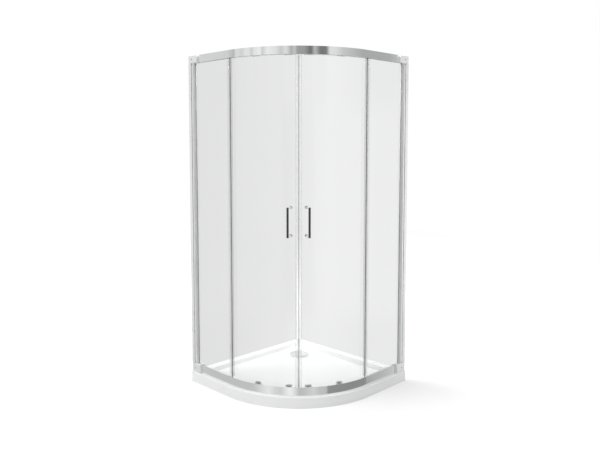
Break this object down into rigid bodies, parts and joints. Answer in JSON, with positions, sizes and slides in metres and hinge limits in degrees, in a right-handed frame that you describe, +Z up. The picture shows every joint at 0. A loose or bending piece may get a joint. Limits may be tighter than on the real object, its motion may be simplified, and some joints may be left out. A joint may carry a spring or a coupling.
{
  "type": "quadrant shower enclosure",
  "caption": "Corner shower with a low quadrant tray, flat side panes, curved sliding glass doors on rollers, bow handles and a lift-off waste cover.",
  "frame": {"origin": "floor level, in the middle of the footprint", "axes": "+Z up; the walls are the planes -X and +Y, and the round front faces +X -Y"},
  "size_m": [0.9, 0.9, 1.91],
  "materials": {
    "tray_white": "gloss white acrylic",
    "tray_core": "cast, matt",
    "waste_chrome": "polished",
    "seal_rubber": "matt",
    "dark_plastic": "matt",
    "frame_silver": "satin anodised",
    "post_silver": "bright anodised",
    "corner_silver": "silver-finished",
    "rail_polished": "polished",
    "glass_clear": "clear toughened",
    "seal_clear": "clear flexible",
    "magnet_grey": "matt",
    "steel": "plain",
    "handle_chrome": "polished",
    "carrier_white": "gloss",
    "button_grey": "satin",
    "wheel_nylon": "smooth"
  },
  "bodies": {
    "enclosure": {"tray_shell": "tray_white", "tray_core": "tray_core", "waste_flange": "waste_chrome", "waste_seal": "seal_rubber", "waste_clamp": "dark_plastic", "wall_profile_left": "frame_silver", "wall_profile_right": "frame_silver", "side_post_left": "post_silver", "side_post_right": "post_silver", "corner_bottom_left": "corner_silver", "corner_top_left": "corner_silver", "corner_bottom_right": "corner_silver", "corner_top_right": "corner_silver", "top_rail": "rail_polished", "bottom_rail": "rail_polished", "frame_screws": "steel", "fixed_glass_left": "glass_clear", "fixed_glass_right": "glass_clear", "fixed_edge_seals": "seal_clear", "post_gaskets": "seal_clear", "glazing_wedges": "seal_clear", "rail_buffers": "seal_rubber"},
    "door_left": {"door_glass_left": "glass_clear", "handle_left": "handle_chrome", "handle_fixings_left": "handle_chrome", "magnet_seal_left": "seal_clear", "magnet_strip_left": "magnet_grey", "trailing_seal_left": "seal_clear", "top_carriers_left": "carrier_white", "bottom_carriers_left": "carrier_white", "carrier_bolts_left": "steel", "wheel_axles_left": "steel", "button_spring_lead_left": "steel", "button_spring_trail_left": "steel"},
    "door_right": {"door_glass_right": "glass_clear", "handle_right": "handle_chrome", "handle_fixings_right": "handle_chrome", "magnet_seal_right": "seal_clear", "magnet_strip_right": "magnet_grey", "trailing_seal_right": "seal_clear", "top_carriers_right": "carrier_white", "bottom_carriers_right": "carrier_white", "carrier_bolts_right": "steel", "wheel_axles_right": "steel", "button_spring_lead_right": "steel", "button_spring_trail_right": "steel"},
    "wheel_top_lead_left": {"wheel_top_lead_left": "wheel_nylon"},
    "wheel_bottom_lead_left": {"wheel_bottom_lead_left": "wheel_nylon"},
    "wheel_top_trail_left": {"wheel_top_trail_left": "wheel_nylon"},
    "wheel_bottom_trail_left": {"wheel_bottom_trail_left": "wheel_nylon"},
    "wheel_top_lead_right": {"wheel_top_lead_right": "wheel_nylon"},
    "wheel_bottom_lead_right": {"wheel_bottom_lead_right": "wheel_nylon"},
    "wheel_top_trail_right": {"wheel_top_trail_right": "wheel_nylon"},
    "wheel_bottom_trail_right": {"wheel_bottom_trail_right": "wheel_nylon"},
    "release_button_lead_left": {"release_button_lead_left": "button_grey"},
    "release_button_trail_left": {"release_button_trail_left": "button_grey"},
    "release_button_lead_right": {"release_button_lead_right": "button_grey"},
    "release_button_trail_right": {"release_button_trail_right": "button_grey"},
    "waste_cover": {"waste_cover": "waste_chrome"}
  },
  "joints": [
    {"name": "door_left_slide", "type": "hinge", "parent": "enclosure", "child": "door_left", "pos_m": [-0.1, 0.1, 0.985], "axis": [0, 0, 1], "range_deg": [-30, 0]},
    {"name": "door_right_slide", "type": "hinge", "parent": "enclosure", "child": "door_right", "pos_m": [-0.1, 0.1, 0.985], "axis": [0, 0, 1], "range_deg": [0, 30]},
    {"name": "wheel_top_lead_left_spin", "type": "hinge", "parent": "door_left", "child": "wheel_top_lead_left", "pos_m": [0.22164, -0.29862, 1.881], "axis": [0.628, -0.7782, 0], "continuous": true},
    {"name": "wheel_bottom_lead_left_spin", "type": "hinge", "parent": "door_left", "child": "wheel_bottom_lead_left", "pos_m": [0.22164, -0.29862, 0.073], "axis": [0.628, -0.7782, 0], "continuous": true},
    {"name": "wheel_top_trail_left_spin", "type": "hinge", "parent": "door_left", "child": "wheel_top_trail_left", "pos_m": [0.06168, -0.38601, 1.881], "axis": [0.3156, -0.9489, 0], "continuous": true},
    {"name": "wheel_bottom_trail_left_spin", "type": "hinge", "parent": "door_left", "child": "wheel_bottom_trail_left", "pos_m": [0.06168, -0.38601, 0.073], "axis": [0.3156, -0.9489, 0], "continuous": true},
    {"name": "wheel_top_lead_right_spin", "type": "hinge", "parent": "door_right", "child": "wheel_top_lead_right", "pos_m": [0.29862, -0.22164, 1.881], "axis": [0.7782, -0.628, 0], "continuous": true},
    {"name": "wheel_bottom_lead_right_spin", "type": "hinge", "parent": "door_right", "child": "wheel_bottom_lead_right", "pos_m": [0.29862, -0.22164, 0.073], "axis": [0.7782, -0.628, 0], "continuous": true},
    {"name": "wheel_top_trail_right_spin", "type": "hinge", "parent": "door_right", "child": "wheel_top_trail_right", "pos_m": [0.38601, -0.06168, 1.881], "axis": [0.9489, -0.3156, 0], "continuous": true},
    {"name": "wheel_bottom_trail_right_spin", "type": "hinge", "parent": "door_right", "child": "wheel_bottom_trail_right", "pos_m": [0.38601, -0.06168, 0.073], "axis": [0.9489, -0.3156, 0], "continuous": true},
    {"name": "release_button_lead_left_press", "type": "slide", "parent": "door_left", "child": "release_button_lead_left", "axis": [0, 0, -1], "range_m": [0, 0.003], "stiffness_N_per_m": 400, "springref_m": -0.002, "deforming": ["button_spring_lead_left"]},
    {"name": "release_button_trail_left_press", "type": "slide", "parent": "door_left", "child": "release_button_trail_left", "axis": [0, 0, -1], "range_m": [0, 0.003], "stiffness_N_per_m": 400, "springref_m": -0.002, "deforming": ["button_spring_trail_left"]},
    {"name": "release_button_lead_right_press", "type": "slide", "parent": "door_right", "child": "release_button_lead_right", "axis": [0, 0, -1], "range_m": [0, 0.003], "stiffness_N_per_m": 400, "springref_m": -0.002, "deforming": ["button_spring_lead_right"]},
    {"name": "release_button_trail_right_press", "type": "slide", "parent": "door_right", "child": "release_button_trail_right", "axis": [0, 0, -1], "range_m": [0, 0.003], "stiffness_N_per_m": 400, "springref_m": -0.002, "deforming": ["button_spring_trail_right"]},
    {"name": "waste_cover_lift", "type": "slide", "parent": "enclosure", "child": "waste_cover", "axis": [0, 0, 1], "range_m": [0, 0.05]}
  ],
  "couplings": [
    {"joint": "wheel_top_lead_left_spin", "follows": "door_left_slide", "ratio": -47.869},
    {"joint": "wheel_bottom_lead_left_spin", "follows": "door_left_slide", "ratio": -47.869},
    {"joint": "wheel_top_trail_left_spin", "follows": "door_left_slide", "ratio": -47.869},
    {"joint": "wheel_bottom_trail_left_spin", "follows": "door_left_slide", "ratio": -47.869},
    {"joint": "wheel_top_lead_right_spin", "follows": "door_right_slide", "ratio": -47.869},
    {"joint": "wheel_bottom_lead_right_spin", "follows": "door_right_slide", "ratio": -47.869},
    {"joint": "wheel_top_trail_right_spin", "follows": "door_right_slide", "ratio": -47.869},
    {"joint": "wheel_bottom_trail_right_spin", "follows": "door_right_slide", "ratio": -47.869}
  ]
}
